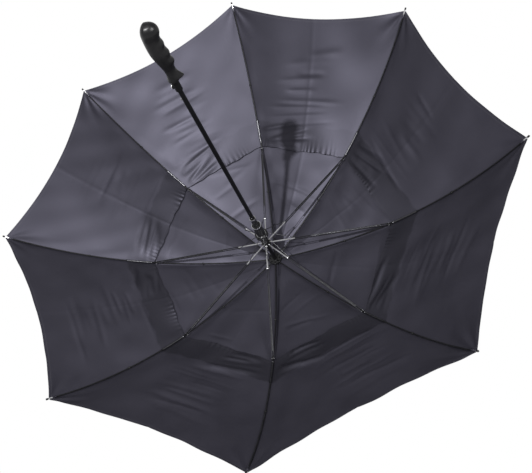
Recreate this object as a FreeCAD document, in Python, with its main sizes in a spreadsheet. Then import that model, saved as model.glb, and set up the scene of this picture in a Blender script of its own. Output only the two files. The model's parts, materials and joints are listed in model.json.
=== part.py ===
"""Automatic golf umbrella with a vented double canopy, held up by its grip. Units are millimetres and degrees.

The shaft lies on Z with the canopy on top. The origin is the middle of the hand grip, rib 1 points along +X, the push
button faces -Y and the finger grooves face +Y. Each frame piece is drawn in the plane of rib 1, with x outwards and z
up, and is then turned about Z to its own rib.
"""
import FreeCAD, Part
import math
import os
import Sketcher
from FreeCAD import Placement, Rotation, Vector

RIBS = 8
STEP = 360 / RIBS
ORIGIN = Vector(0, 0, 0)
X_AXIS, Y_AXIS, Z_AXIS = Vector(1, 0, 0), Vector(0, 1, 0), Vector(0, 0, 1)

# Driving dimensions. A drop is a depth below the plane of the crown pivots.
SIZE = {
    "crown_height": 838, "shaft_outer_r": 5, "shaft_bore_r": 4.2, "shaft_top_rise": 12, "shaft_foot_drop": 862,
    # ribs: one circular arc from the crown pivot to the tip, hinged at the middle joint
    "crown_pivot_r": 14, "rib_arc_r": 885.3, "rib_start_slope": 5.62, "inner_sweep": 20.18, "outer_sweep": 26.53,
    "rib_r": 1.6, "tip_cap_r": 2.1, "tip_cap_length": 12,
    # pivots: eyes, their holes, and where each part lies beside the plane of its rib
    "eye_r": 2.6, "rivet_r": 0.9, "rivet_hole_r": 0.95, "rivet_half": 3.1, "inner_eye_half": 0.8,
    "outer_cheek_low": 0.9, "outer_cheek_thick": 0.8, "outer_fork_length": 9,
    "wire_r": 0.6, "wire_channel_r": 0.65, "wire_hole_r": 1.15,
    # stretchers: U-channels hung from the middle joint, open at both ends where they straddle their neighbours
    "cheek_low": 1.8, "cheek_thick": 0.7, "channel_height": 4, "mid_fork_length": 20, "inner_fork_length": 42,
    # links and struts between the stretchers and the runner
    "hub_pivot_r": 10, "hub_drop": 92.4, "elbow_r": 74.7, "link_half": 1.5, "link_height": 3.4, "link_eye_r": 2.2,
    "collar_pivot_r": 14.4, "collar_drop": 136.4, "strut_side": 3.8, "strut_r": 0.9, "strut_eye_r": 2.1,
    "strut_eye_half": 0.8,
    # runner: the hub, and the spring collar on its stepped sleeve
    "hub_flange_r": 13.2, "hub_rise": 4, "hub_fall": 5, "runner_bore_r": 5.1, "hub_tube_r": 6.6,
    "hub_tube_drop": 144.5, "link_slot_floor_r": 7.7, "link_slot_half": 1.9, "strut_slot_floor_r": 10.6,
    "strut_slot_side": 5.1,
    "collar_flange_r": 16.9, "collar_rise": 3, "collar_fall": 4, "collar_bore_r": 6.7, "wide_sleeve_r": 11.5,
    "strut_slot_gap": 0.1, "sleeve_step_drop": 187.5, "narrow_sleeve_r": 7, "sleeve_foot_drop": 223,
    "seat_drop": 184.5, "rim_proud": 0.8, "rim_height": 2.4, "rim_inset": 1,
    "spring_r": 5.9, "spring_wire_r": 0.35, "spring_turns": 8, "spring_gap": 0.4,
    # crown notch, cap and ferrule
    "notch_r": 17, "notch_half": 4, "notch_floor_r": 10.6, "notch_slot_half": 1.8,
    "cap_r": 19, "cap_rise": 9, "cap_thick": 2, "ferrule_neck_r": 8, "ferrule_pin_r": 5, "ferrule_pin_rise": 22,
    "ferrule_pin_length": 30, "ferrule_tip_r": 3.6, "ferrule_tip_length": 6,
    # canopy: vertical gap over the arc of the ribs, cloth thickness, hems and the vent between its two layers
    "cloth_gap": 4.2, "cloth_thick": 0.8, "gore_gap": 0.3, "lower_hem_r": 318, "hem_scallop": 19,
    "top_hole_r": 7, "top_rise": 7, "top_hem_r": 390, "vent_gap": 15,
    # handle, button and latch
    "neck_drop": 762, "handle_bore_r": 5.02, "guard_low_drop": 776, "guard_drop": 764, "guard_low_r": 13,
    "guard_r": 17, "guard_side": 8, "bezel_top_drop": 731, "bezel_r": 7.4, "boss_r": 5.8, "boss_reach": 9.4,
    "button_drop": 744, "button_r": 4, "button_bore_r": 4.06, "button_face": 11.4, "button_back": 7.4,
    "stem_r": 1.4, "stem_hole_r": 1.8, "stem_end": 3.75,
    "latch_half": 1.5, "latch_face": 3.6, "latch_thick": 1.8, "latch_top_drop": 696, "nose_drop": 702,
    "nose_half": 2, "nose_reach": 8.2, "nose_slot": 4, "latch_pivot_drop": 790, "latch_pivot_y": 1.9,
    "latch_eye_r": 1.7, "trunnion_r": 0.8, "trunnion_hole_r": 0.85, "trunnion_half": 4.15, "window_half": 4,
    "window_drop": 213,
    # clearances, overlaps, how far the cloth runs over the cap in degrees, and how far a cutting tool runs past a face
    "press_clear": 0.02, "socket_clear": 0.05, "slot_clear": 0.3, "edge_clear": 0.4, "window_clear": 0.5,
    "slot_overlap": 0.1, "nose_root": 0.5, "button_wall": 1, "cheek_overlap": 3, "cap_shoulder": 3, "cloth_end": 0.5,
    "overrun": 1,
}
# How many flat strips a half gore and an upper gore are drawn with, from their inner to their outer hem.
LOWER_STRIPS, UPPER_STRIPS = 6, 5
# The grip's outline: drop of each oval section, its half width along X, its half width along Y and its shift to +Y.
GRIP_SECTIONS = (
    (762, 12.6, 12.8, 0.4), (776, 11.6, 11.8, 0.6), (790, 13.2, 14.4, 1.2), (806, 14.4, 16.0, 1.8),
    (822, 14.2, 15.2, 1.6), (838, 14.6, 16.2, 2.0), (854, 14.0, 15.2, 2.2), (868, 14.0, 15.4, 3.0),
    (880, 13.6, 14.2, 3.8), (893, 16.2, 16.6, 4.6), (905, 14.4, 14.8, 5.2), (912, 8.6, 8.8, 5.4),
)
GRIP_CORNERS = 12


def height(drop):
    """Height above the origin of a point that is drop below the crown pivots."""
    return SIZE["crown_height"] - drop


def arc_point(angle, gap=0.0):
    """(x, z) on the arc of the ribs where it slopes down at angle, raised by gap."""
    start, radius = math.radians(SIZE["rib_start_slope"]), SIZE["rib_arc_r"]
    here = math.radians(angle)
    x = SIZE["crown_pivot_r"] + radius * (math.sin(here) - math.sin(start))
    drop = radius * (math.cos(start) - math.cos(here))
    return x, height(drop) + gap


def arc_angle(x):
    """Slope of the arc of the ribs at distance x from the shaft."""
    start = math.sin(math.radians(SIZE["rib_start_slope"]))
    return math.degrees(math.asin(start + (x - SIZE["crown_pivot_r"]) / SIZE["rib_arc_r"]))


def derive():
    """Sizes that follow from the driving dimensions, added to them under names of their own."""
    mid_slope = SIZE["rib_start_slope"] + SIZE["inner_sweep"]
    tip_slope = mid_slope + SIZE["outer_sweep"]
    mid, tip = arc_point(mid_slope), arc_point(tip_slope)
    hub = (SIZE["hub_pivot_r"], height(SIZE["hub_drop"]))
    share = (SIZE["elbow_r"] - hub[0]) / (mid[0] - hub[0])
    elbow = (SIZE["elbow_r"], hub[1] + share * (mid[1] - hub[1]))
    collar_x = math.sqrt(SIZE["collar_pivot_r"] ** 2 - SIZE["strut_side"] ** 2)
    collar = (collar_x, height(SIZE["collar_drop"]))
    points = {"mid": mid, "tip": tip, "hub": hub, "elbow": elbow, "collar": collar}
    for name, (x, z) in points.items():
        SIZE[name + "_x"], SIZE[name + "_z"] = x, z
    SIZE["mid_slope"], SIZE["tip_slope"] = mid_slope, tip_slope
    fork_sweep = math.degrees(SIZE["outer_fork_length"] / SIZE["rib_arc_r"])
    SIZE["fork_slope"], SIZE["rod_sweep"] = mid_slope + fork_sweep, SIZE["outer_sweep"] - fork_sweep
    SIZE["rod_room_low"] = SIZE["inner_eye_half"] + SIZE["rib_r"]
    SIZE["stretcher_length"] = math.dist(mid, elbow)
    SIZE["link_length"] = math.dist(hub, elbow)
    SIZE["strut_length"] = math.dist(collar, elbow)
    SIZE["channel_length"] = SIZE["stretcher_length"] - SIZE["mid_fork_length"] - SIZE["inner_fork_length"]
    for name in [key for key in SIZE if key.endswith("_drop")]:
        SIZE[name[:-5] + "_level"] = height(SIZE[name])


def make_sheet(doc):
    """The spreadsheet that holds every size under its own name."""
    sheet = doc.addObject("Spreadsheet::Sheet", "dims")
    for row, (name, value) in enumerate(SIZE.items(), start=1):
        sheet.set(f"A{row}", name)
        sheet.set(f"B{row}", f"{value:.6f}")
        sheet.setAlias(f"B{row}", name)
    doc.recompute()
    return sheet


def bind(obj, **sizes):
    """Ties properties of an object to cells, or to sums and products of cells."""
    for prop, words in sizes.items():
        obj.setExpression(prop, words)
    return obj


def cell(words):
    """An expression in which each name is a cell of the sheet."""
    out, name = "", ""
    for mark in words + " ":
        if mark.isalnum() or mark in "_.":
            name += mark
            continue
        out += ("dims." + name if name and name[0].isalpha() else name) + mark
        name = ""
    return out.strip()


def primitive(doc, kind, name, at=ORIGIN, turn=Rotation(), **sizes):
    """A Part primitive whose sizes come from the sheet, placed at a point with a turn."""
    obj = doc.addObject("Part::" + kind, name)
    bind(obj, **{prop: cell(words) for prop, words in sizes.items()})
    obj.Placement = Placement(at, turn)
    return obj


def joined(doc, name, pieces):
    """One solid fused from several."""
    obj = doc.addObject("Part::MultiFuse", name)
    obj.Shapes = pieces
    obj.Refine = True
    return obj


def less(doc, name, base, tools):
    """A base with each tool cut away."""
    for number, tool in enumerate(tools, start=1):
        cut = doc.addObject("Part::Cut", f"{name}_cut_{number}")
        cut.Base, cut.Tool = base, tool
        base = cut
    return base


def group(doc, name, pieces):
    """Several separate solids that stay separate in one sub-part."""
    obj = doc.addObject("Part::Compound", name)
    obj.Links = pieces
    return obj


def finish(obj, label, turn=0.0):
    """Gives a sub-part its label and turns it about the shaft to its rib."""
    obj.Label = label
    obj.Placement = Placement(ORIGIN, Rotation(Z_AXIS, turn)).multiply(obj.Placement)
    return obj


def plane_of(body, role):
    """One of the origin planes or axes of a body."""
    return next(feature for feature in body.Origin.OriginFeatures if feature.Role == role)


def outline_sketch(body, name, role, outline):
    """A closed sketch of straight lines. Each corner is a pair of expressions that fix its place."""
    sketch = body.newObject("Sketcher::SketchObject", name)
    sketch.AttachmentSupport = (plane_of(body, role), [""])
    sketch.MapMode = "FlatFace"
    corners = [(cell(x), cell(y)) for x, y in outline]
    spots = [[float(sketch.evalExpression(words)) for words in corner] for corner in corners]
    for here, there in zip(spots, spots[1:] + spots[:1]):
        sketch.addGeometry(Part.LineSegment(Vector(*here, 0), Vector(*there, 0)))
    count = len(spots)
    for line in range(count):
        sketch.addConstraint(Sketcher.Constraint("Coincident", line, 2, (line + 1) % count, 1))
    for line, (corner, spot) in enumerate(zip(corners, spots)):
        for kind, words, value in zip(("DistanceX", "DistanceY"), corner, spot):
            number = sketch.addConstraint(Sketcher.Constraint(kind, -1, 1, line, 1, value))
            sketch.setExpression(f"Constraints[{number}]", words)
    return sketch


def turned(doc, name, outline):
    """A body of revolution about the shaft. Each corner of its outline is (distance from the shaft, height)."""
    body = doc.addObject("PartDesign::Body", name)
    sketch = outline_sketch(body, name + "_outline", "XZ_Plane", outline)
    spin = body.newObject("PartDesign::Revolution", name + "_turn")
    spin.Profile = sketch
    spin.ReferenceAxis = (sketch, ["V_Axis"])
    spin.Angle = 360
    return body


def slotted(doc, body, name, reach, slots):
    """Cuts radial slots through a turned body, each repeated at every rib. A slot is (floor, low side, high side)."""
    doc.recompute()
    pockets = []
    for number, (floor, low_side, high_side) in enumerate(slots, start=1):
        corners = ((floor, low_side), (reach, low_side), (reach, high_side), (floor, high_side))
        sketch = outline_sketch(body, f"{name}_slot_outline_{number}", "XY_Plane", corners)
        pocket = body.newObject("PartDesign::Pocket", f"{name}_slot_{number}")
        pocket.Profile = sketch
        pocket.Type = "ThroughAll"
        pocket.Midplane = True
        doc.recompute()
        pockets.append(pocket)
    pattern = body.newObject("PartDesign::PolarPattern", name + "_slots")
    pattern.Originals = pockets
    pattern.Axis = (plane_of(body, "Z_Axis"), [""])
    pattern.Angle = 360
    pattern.Occurrences = RIBS
    body.Tip = pattern
    return body


def wired(doc, name, body, radius, level, tools=()):
    """A slotted body with the ring of wire that its pivots hang on, in a channel of its own."""
    at = Vector(0, 0, SIZE[level])
    channel = primitive(doc, "Torus", name + "_channel", at, Radius1=radius, Radius2="wire_channel_r")
    wire = primitive(doc, "Torus", name + "_wire", at, Radius1=radius, Radius2="wire_r")
    return group(doc, name + "_set", [less(doc, name, body, [channel, *tools]), wire])


def across(side):
    """A turn that lays a cylinder along Y, away from the shaft's plane of rib 1, on side +1 or -1."""
    return Rotation(X_AXIS, -90 * side)


def cross_disc(doc, name, x, z, low, thick, radius):
    """A disc across the plane of the rib, from y = low to low + thick."""
    start = Vector(SIZE[x], SIZE[low[0]] * low[1], SIZE[z])
    return primitive(doc, "Cylinder", name, start, across(1), Radius=radius, Height=thick)


def arc_rod(doc, name, start_slope, sweep, radius):
    """A round rod along the arc of the ribs."""
    centre_x = SIZE["crown_pivot_r"] - SIZE["rib_arc_r"] * math.sin(math.radians(SIZE["rib_start_slope"]))
    centre_z = SIZE["crown_height"] - SIZE["rib_arc_r"] * math.cos(math.radians(SIZE["rib_start_slope"]))
    turn = Rotation(Y_AXIS, SIZE[start_slope] - 90).multiply(Rotation(X_AXIS, -90))
    rod = doc.addObject("Part::Torus", name)
    bind(rod, Radius1=cell("rib_arc_r"), Radius2=cell(radius), Angle3=cell(sweep))
    rod.Placement = Placement(Vector(centre_x, 0, centre_z), turn)
    return rod


def straight_bar(doc, name, start, end, skip, low, length, thick, tall):
    """A rectangular bar in or beside the plane of the rib, along the line between two pivots."""
    a = Vector(SIZE[start + "_x"], 0, SIZE[start + "_z"])
    b = Vector(SIZE[end + "_x"], 0, SIZE[end + "_z"])
    along = (b - a).normalize()
    slope = math.degrees(math.atan2(-along.z, along.x))
    bar = doc.addObject("Part::Box", name)
    bind(bar, Length=cell(length), Width=cell(thick), Height=cell(tall))
    turn = Rotation(Y_AXIS, slope)
    up = turn.multVec(Z_AXIS)
    half = float(bar.evalExpression(cell(tall))) / 2
    bar.Placement = Placement(a + along * skip + Y_AXIS * low - up * half, turn)
    return bar


def make_shaft(doc):
    """The steel tube, with a hole for the button's stem and a slot for the latch's nose."""
    outer, bore = "shaft_outer_r", "shaft_bore_r"
    top, foot = "crown_height + shaft_top_rise", "shaft_foot_level"
    body = turned(doc, "shaft", ((bore, foot), (outer, foot), (outer, top), (bore, top)))
    stem = primitive(doc, "Cylinder", "stem_hole", Vector(0, 0, SIZE["button_level"]), across(-1),
                     Radius="stem_hole_r", Height="shaft_outer_r + overrun")
    outside = -SIZE["shaft_outer_r"] - SIZE["overrun"]
    slot = primitive(doc, "Box", "nose_slot", Vector(-SIZE["latch_half"] - SIZE["slot_clear"], outside,
                     SIZE["nose_level"] - SIZE["nose_slot"]), Length="2 * latch_half + 2 * slot_clear",
                     Width="shaft_outer_r", Height="2 * nose_slot")
    trunnions = primitive(doc, "Cylinder", "trunnion_holes", Vector(outside, -SIZE["latch_pivot_y"],
                          SIZE["latch_pivot_level"]), Rotation(Y_AXIS, 90), Radius="trunnion_hole_r",
                          Height="2 * shaft_outer_r + 2 * overrun")
    return finish(less(doc, "shaft_tube", body, [stem, slot, trunnions]), "shaft_tube")


def make_handle(doc):
    """The moulded grip: oval sections lofted from the neck to the pommel, a guard lip, and the shaft's socket."""
    wires = []
    for drop, half_x, half_y, shift in GRIP_SECTIONS:
        spline = Part.BSplineCurve()
        corners = []
        for number in range(GRIP_CORNERS):
            angle = 2 * math.pi * number / GRIP_CORNERS
            corners.append(Vector(half_x * math.cos(angle), shift + half_y * math.sin(angle), height(drop)))
        spline.interpolate(corners, PeriodicFlag=True)
        wires.append(Part.Wire([spline.toShape()]))
    core = doc.addObject("Part::Feature", "grip_core")
    core.Shape = Part.makeLoft(wires, True)
    guard = primitive(doc, "Cone", "guard_lip", Vector(0, SIZE["guard_side"], SIZE["guard_low_level"]),
                      Radius1="guard_low_r", Radius2="guard_r", Height="guard_low_drop - guard_drop")
    floor = Vector(0, 0, SIZE["shaft_foot_level"] - SIZE["socket_clear"])
    socket = primitive(doc, "Cylinder", "grip_socket", floor, Radius="handle_bore_r", Height="shaft_foot_drop")
    return finish(less(doc, "handle_grip", joined(doc, "grip_solid", [core, guard]), [socket]), "handle_grip")


def make_button(doc):
    """The push button, a cap on a stem that slides in towards the shaft."""
    level = SIZE["button_level"]
    cap = primitive(doc, "Cylinder", "button_cap", Vector(0, -SIZE["button_back"], level), across(-1),
                    Radius="button_r", Height="button_face - button_back")
    stem = primitive(doc, "Cylinder", "button_stem", Vector(0, -SIZE["stem_end"], level), across(-1),
                     Radius="stem_r", Height="button_face - stem_end - button_wall")
    return finish(joined(doc, "button_solid", [cap, stem]), "push_button")


def make_bezel(doc):
    """The metal collar around the shaft, with the boss that the button slides in."""
    at = Vector(0, 0, SIZE["neck_level"])
    ring = primitive(doc, "Cylinder", "bezel_ring", at, Radius="bezel_r", Height="neck_drop - bezel_top_drop")
    middle = Vector(0, 0, SIZE["button_level"])
    boss = primitive(doc, "Cylinder", "bezel_boss", middle, across(-1), Radius="boss_r", Height="boss_reach")
    bore = primitive(doc, "Cylinder", "bezel_bore", at - Z_AXIS * SIZE["overrun"], Radius="handle_bore_r",
                     Height="neck_drop - bezel_top_drop + 2 * overrun")
    well = primitive(doc, "Cylinder", "button_well", middle, across(-1), Radius="button_bore_r",
                     Height="button_face + overrun")
    solid = joined(doc, "bezel_solid", [ring, boss])
    return finish(less(doc, "button_bezel", solid, [bore, well]), "button_bezel")


def make_latch(doc):
    """The sprung lever inside the shaft: a bar, the nose that catches the sleeve, and its trunnions."""
    half = SIZE["latch_half"]
    pivot = Vector(-half, -SIZE["latch_pivot_y"], SIZE["latch_pivot_level"])
    bar = primitive(doc, "Box", "latch_bar", Vector(-half, -SIZE["latch_face"], SIZE["latch_pivot_level"]),
                    Length="2 * latch_half", Width="latch_thick", Height="latch_pivot_drop - latch_top_drop")
    nose = primitive(doc, "Box", "latch_nose", Vector(-half, -SIZE["nose_reach"], SIZE["nose_level"]
                     - SIZE["nose_half"]), Length="2 * latch_half", Width="nose_reach - latch_face + nose_root",
                     Height="2 * nose_half")
    eye = primitive(doc, "Cylinder", "latch_eye", pivot, Rotation(Y_AXIS, 90), Radius="latch_eye_r",
                    Height="2 * latch_half")
    pin = primitive(doc, "Cylinder", "latch_trunnions", Vector(-SIZE["trunnion_half"], pivot.y, pivot.z),
                    Rotation(Y_AXIS, 90), Radius="trunnion_r", Height="2 * trunnion_half")
    return finish(joined(doc, "latch_solid", [bar, nose, eye, pin]), "latch_lever")


def make_ferrule(doc):
    """The crown cap over the cloth and the spike above it, turned in one."""
    base = "crown_height + cap_rise"
    rim = "cap_rise + cap_thick"
    pin = "ferrule_pin_rise"
    tip = pin + " + ferrule_pin_length + ferrule_tip_length"
    bore, floor = "shaft_outer_r + press_clear", "crown_height + shaft_top_rise + socket_clear"
    outline = (
        (bore, base), ("cap_r", base), ("cap_r", base + " + cap_thick / 2"),
        ("ferrule_neck_r", "crown_height + " + rim + " + cap_shoulder"), ("ferrule_pin_r", "crown_height + " + pin),
        ("ferrule_pin_r", "crown_height + " + pin + " + ferrule_pin_length"),
        ("ferrule_tip_r", "crown_height + " + tip), ("0", "crown_height + " + tip), ("0", floor), (bore, floor),
    )
    return finish(turned(doc, "ferrule_body", outline), "ferrule")


def make_notch(doc):
    """The crown notch, fixed to the shaft, with a slot for the eye of each rib and their ring of wire."""
    low, high = "crown_height - notch_half", "crown_height + notch_half"
    bore = "shaft_outer_r + press_clear"
    body = turned(doc, "notch", ((bore, low), ("notch_r", low), ("notch_r", high), (bore, high)))
    slotted(doc, body, "notch", "notch_r + overrun", [("notch_floor_r", "-notch_slot_half", "notch_slot_half")])
    return finish(wired(doc, "crown_notch", body, "crown_pivot_r", "crown_height"), "crown_notch")


def make_hub(doc):
    """The runner hub: a slotted flange for the links, on the tube that runs inside the sleeve."""
    bore, tube = "runner_bore_r", "hub_tube_r"
    foot, low, high = "hub_tube_level", "hub_level - hub_fall", "hub_level + hub_rise"
    outline = ((bore, foot), (tube, foot), (tube, low), ("hub_flange_r", low), ("hub_flange_r", high), (bore, high))
    body = turned(doc, "hub", outline)
    slotted(doc, body, "hub", "hub_flange_r + overrun", [
        ("link_slot_floor_r", "-link_slot_half", "link_slot_half"),
        ("strut_slot_floor_r", "-strut_slot_side", "-link_slot_half + slot_overlap")])
    return finish(wired(doc, "runner_hub", body, "hub_pivot_r", "hub_level"), "runner_hub")


def make_collar(doc):
    """The spring collar: a slotted flange for the struts on a stepped sleeve, wide above and narrow below."""
    bore, high = "collar_bore_r", "collar_level + collar_rise"
    low, step = "collar_level - collar_fall", "sleeve_step_level"
    outline = (
        (bore, high), (bore, "seat_level"), ("runner_bore_r", "seat_level"), ("runner_bore_r", "sleeve_foot_level"),
        ("narrow_sleeve_r", "sleeve_foot_level"), ("narrow_sleeve_r", step), ("wide_sleeve_r", step),
        ("wide_sleeve_r", low), ("collar_flange_r", low), ("collar_flange_r", high),
    )
    body = turned(doc, "collar", outline)
    slotted(doc, body, "collar", "collar_flange_r + overrun", [
        ("wide_sleeve_r + strut_slot_gap", "-strut_slot_side", "-strut_side + strut_r + edge_clear")])
    corner = Vector(-SIZE["latch_half"] - SIZE["window_clear"], -SIZE["narrow_sleeve_r"] - SIZE["overrun"],
                    SIZE["window_level"] - SIZE["window_half"])
    window = primitive(doc, "Box", "latch_window", corner, Length="2 * latch_half + 2 * window_clear",
                       Width="narrow_sleeve_r - shaft_outer_r + 2 * overrun", Height="2 * window_half")
    return finish(wired(doc, "spring_collar", body, "collar_pivot_r", "collar_level", [window]), "spring_collar")


def make_rims(doc):
    """The three bright rings pressed on the sleeve: at its collar, at its step and at its foot."""
    places = (("collar", "wide_sleeve_r", "collar_level - collar_fall - rim_height"),
              ("step", "wide_sleeve_r", "sleeve_step_level"),
              ("foot", "narrow_sleeve_r", "sleeve_foot_level + rim_inset"))
    rings = []
    for name, radius, low in places:
        high = low + " + rim_height"
        proud = radius + " + rim_proud"
        rings.append(turned(doc, name + "_rim", ((radius, low), (proud, low), (proud, high), (radius, high))))
    return finish(group(doc, "rims", rings), "sleeve_rims")


def make_spring(doc):
    """The opening spring: a wire coil around the shaft between the runner's tube and the seat in the sleeve."""
    low = SIZE["seat_level"] + SIZE["spring_gap"] + SIZE["spring_wire_r"]
    high = SIZE["hub_tube_level"] - SIZE["spring_gap"] - SIZE["spring_wire_r"]
    pitch = (high - low) / SIZE["spring_turns"]
    helix = Part.makeHelix(pitch, high - low, SIZE["spring_r"])
    start, along = Vector(SIZE["spring_r"], 0, 0), Vector(0, 2 * math.pi * SIZE["spring_r"], pitch)
    section = Part.Wire([Part.makeCircle(SIZE["spring_wire_r"], start, along)])
    coil = doc.addObject("Part::Feature", "opening_spring")
    coil.Shape = Part.Wire(helix).makePipeShell([section], True, True)
    coil.Placement = Placement(Vector(0, 0, low), Rotation())
    return finish(coil, "opening_spring")


def make_inner_rib(doc, number, turn):
    """Rib from the crown to the middle joint, with an eye at each end and the rivet of the middle joint."""
    name = f"rib_inner_{number}"
    rod = arc_rod(doc, name + "_rod", "rib_start_slope", "inner_sweep", "rib_r")
    crown_eye = cross_disc(doc, name + "_crown_eye", "crown_pivot_r", "crown_height", ("latch_half", -1),
                           "2 * latch_half", "eye_r")
    mid_eye = cross_disc(doc, name + "_mid_eye", "mid_x", "mid_z", ("inner_eye_half", -1), "2 * inner_eye_half",
                         "eye_r")
    rivet = cross_disc(doc, name + "_rivet", "mid_x", "mid_z", ("rivet_half", -1), "2 * rivet_half", "rivet_r")
    hole = cross_disc(doc, name + "_wire_hole", "crown_pivot_r", "crown_height", ("eye_r", -1), "2 * eye_r",
                      "wire_hole_r")
    room = [cross_disc(doc, f"{name}_room_{side}", "mid_x", "mid_z", (low, sign), "rib_r", "eye_r + edge_clear")
            for side, low, sign in (("left", "inner_eye_half", 1), ("right", "rod_room_low", -1))]
    rod = less(doc, name + "_trimmed", rod, room)
    solid = joined(doc, name + "_solid", [rod, crown_eye, mid_eye, rivet])
    return finish(less(doc, name, solid, [hole]), name, turn)


def make_outer_rib(doc, number, turn):
    """Rib from the middle joint to the tip, forked around the inner rib, with the cap that holds the cloth."""
    name = f"rib_outer_{number}"
    rod = arc_rod(doc, name + "_rod", "fork_slope", "rod_sweep", "rib_r")
    cheeks = []
    for side, low in (("left", SIZE["outer_cheek_low"]),
                      ("right", -SIZE["outer_cheek_low"] - SIZE["outer_cheek_thick"])):
        at = Vector(SIZE["mid_x"], low, SIZE["mid_z"])
        cheeks.append(primitive(doc, "Cylinder", f"{name}_{side}_eye", at, across(1), Radius="eye_r",
                                Height="outer_cheek_thick"))
        tilt = Rotation(Y_AXIS, SIZE["mid_slope"])
        cheeks.append(primitive(doc, "Box", f"{name}_{side}_cheek", at - tilt.multVec(Z_AXIS) * SIZE["rib_r"], tilt,
                                Length="outer_fork_length + cheek_overlap", Width="outer_cheek_thick",
                                Height="2 * rib_r"))
    hole = primitive(doc, "Cylinder", name + "_hole", Vector(SIZE["mid_x"], -SIZE["eye_r"], SIZE["mid_z"]),
                     across(1), Radius="rivet_hole_r", Height="2 * eye_r")
    forked = less(doc, name + "_fork", joined(doc, name + "_solid", [rod, *cheeks]), [hole])
    tangent = Rotation(Y_AXIS, 90 + SIZE["tip_slope"])
    cap = primitive(doc, "Cylinder", name + "_cap", Vector(SIZE["tip_x"], 0, SIZE["tip_z"]), tangent,
                    Radius="tip_cap_r", Height="tip_cap_length")
    return finish(group(doc, name, [forked, cap]), name, turn)


def make_stretcher(doc, number, turn):
    """U-channel from the middle joint in to the elbow. Both ends are open forks, and the elbow has no pin."""
    name = f"stretcher_{number}"
    low, thick = SIZE["cheek_low"], SIZE["cheek_thick"]
    pieces = [straight_bar(doc, name + "_web", "mid", "elbow", SIZE["mid_fork_length"], -low - thick,
                           "channel_length", "2 * cheek_low + 2 * cheek_thick", "cheek_thick")]
    pieces[0].Placement.Base = pieces[0].Placement.Base + Z_AXIS * (SIZE["channel_height"] - thick) / 2
    for side, start in (("left", low), ("right", -low - thick)):
        pieces.append(straight_bar(doc, f"{name}_{side}_cheek", "mid", "elbow", 0, start, "stretcher_length",
                                   "cheek_thick", "channel_height"))
        for end in ("mid", "elbow"):
            at = Vector(SIZE[end + "_x"], start, SIZE[end + "_z"])
            pieces.append(primitive(doc, "Cylinder", f"{name}_{side}_{end}_eye", at, across(1), Radius="eye_r",
                                    Height="cheek_thick"))
    holes = [primitive(doc, "Cylinder", f"{name}_{end}_hole", Vector(SIZE[end + "_x"], -2 * low, SIZE[end + "_z"]),
                       across(1), Radius="rivet_hole_r", Height="4 * cheek_low") for end in ("mid", "elbow")]
    return finish(less(doc, name, joined(doc, name + "_solid", pieces), holes), name, turn)


def make_link(doc, number, turn):
    """Flat bar from the runner hub to the elbow, inside the fork of the stretcher."""
    name = f"link_{number}"
    bar = straight_bar(doc, name + "_bar", "hub", "elbow", 0, -SIZE["link_half"], "link_length", "2 * link_half",
                       "link_height")
    eyes, holes = [], []
    for end, radius in (("hub", "wire_hole_r"), ("elbow", "rivet_hole_r")):
        low = Vector(SIZE[end + "_x"], -SIZE["link_half"], SIZE[end + "_z"])
        eyes.append(primitive(doc, "Cylinder", f"{name}_{end}_eye", low, across(1), Radius="link_eye_r",
                              Height="2 * link_half"))
        holes.append(primitive(doc, "Cylinder", f"{name}_{end}_hole", low - Y_AXIS * SIZE["overrun"], across(1),
                               Radius=radius, Height="2 * link_half + 2 * overrun"))
    return finish(less(doc, name, joined(doc, name + "_solid", [bar, *eyes]), holes), name, turn)


def make_strut(doc, number, turn):
    """Wire strut from the spring collar to the elbow, beside the stretcher, with a flattened eye at each end."""
    name = f"strut_{number}"
    low = -SIZE["strut_side"] - SIZE["strut_eye_half"]
    start = Vector(SIZE["collar_x"], -SIZE["strut_side"], SIZE["collar_z"])
    end = Vector(SIZE["elbow_x"], -SIZE["strut_side"], SIZE["elbow_z"])
    wire = primitive(doc, "Cylinder", name + "_wire", start, Rotation(Z_AXIS, end - start), Radius="strut_r",
                     Height="strut_length")
    eyes, holes = [], []
    for place, radius in (("collar", "wire_hole_r"), ("elbow", "rivet_hole_r")):
        at = Vector(SIZE[place + "_x"], low, SIZE[place + "_z"])
        eyes.append(primitive(doc, "Cylinder", f"{name}_{place}_eye", at, across(1), Radius="strut_eye_r",
                              Height="2 * strut_eye_half"))
        holes.append(primitive(doc, "Cylinder", f"{name}_{place}_hole", at - Y_AXIS * SIZE["overrun"], across(1),
                               Radius=radius, Height="2 * strut_eye_half + 2 * overrun"))
    return finish(less(doc, name, joined(doc, name + "_solid", [wire, *eyes]), holes), name, turn)


def panel_solid(rows):
    """A closed cloth panel. Each row is (inner corner, outer corner) of the upper face, from the crown outwards."""
    thick = Vector(0, 0, SIZE["cloth_thick"])
    faces = []
    for (a, b), (c, d) in zip(rows, rows[1:]):
        for corners in ((a, c, d, b), (a - thick, b - thick, d - thick, c - thick),
                        (a, a - thick, c - thick, c), (b, d, d - thick, b - thick)):
            faces.append(Part.Face(Part.makePolygon([*corners, corners[0]])))
    for a, b in (rows[0], rows[-1]):
        faces.append(Part.Face(Part.makePolygon([a, b, b - thick, a - thick, a])))
    return Part.Solid(Part.Shell(faces))


def half_gore(profile, side):
    """One half gore beside a rib, from (x, z) stations on the rib. Its hem runs back to a scallop at mid gore."""
    middle = math.radians(STEP / 2) * side
    gap = Vector(math.sin(middle), -math.cos(middle), 0) * SIZE["gore_gap"] * side
    (inner_x, inner_z), (hem_x, hem_z) = profile[-2:]
    back = SIZE["hem_scallop"]
    hem_rise = (inner_z - hem_z) * back / (hem_x - inner_x)
    rows = []
    for x, z in profile:
        if (x, z) == profile[-1]:
            reach, level = (x - back) * math.cos(middle), z + hem_rise
        else:
            reach, level = x * math.cos(middle), z
        at_middle = Vector(reach * math.cos(middle), reach * math.sin(middle), level)
        rows.append((Vector(x, 0, z), at_middle + gap))
    return panel_solid(rows)


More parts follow.
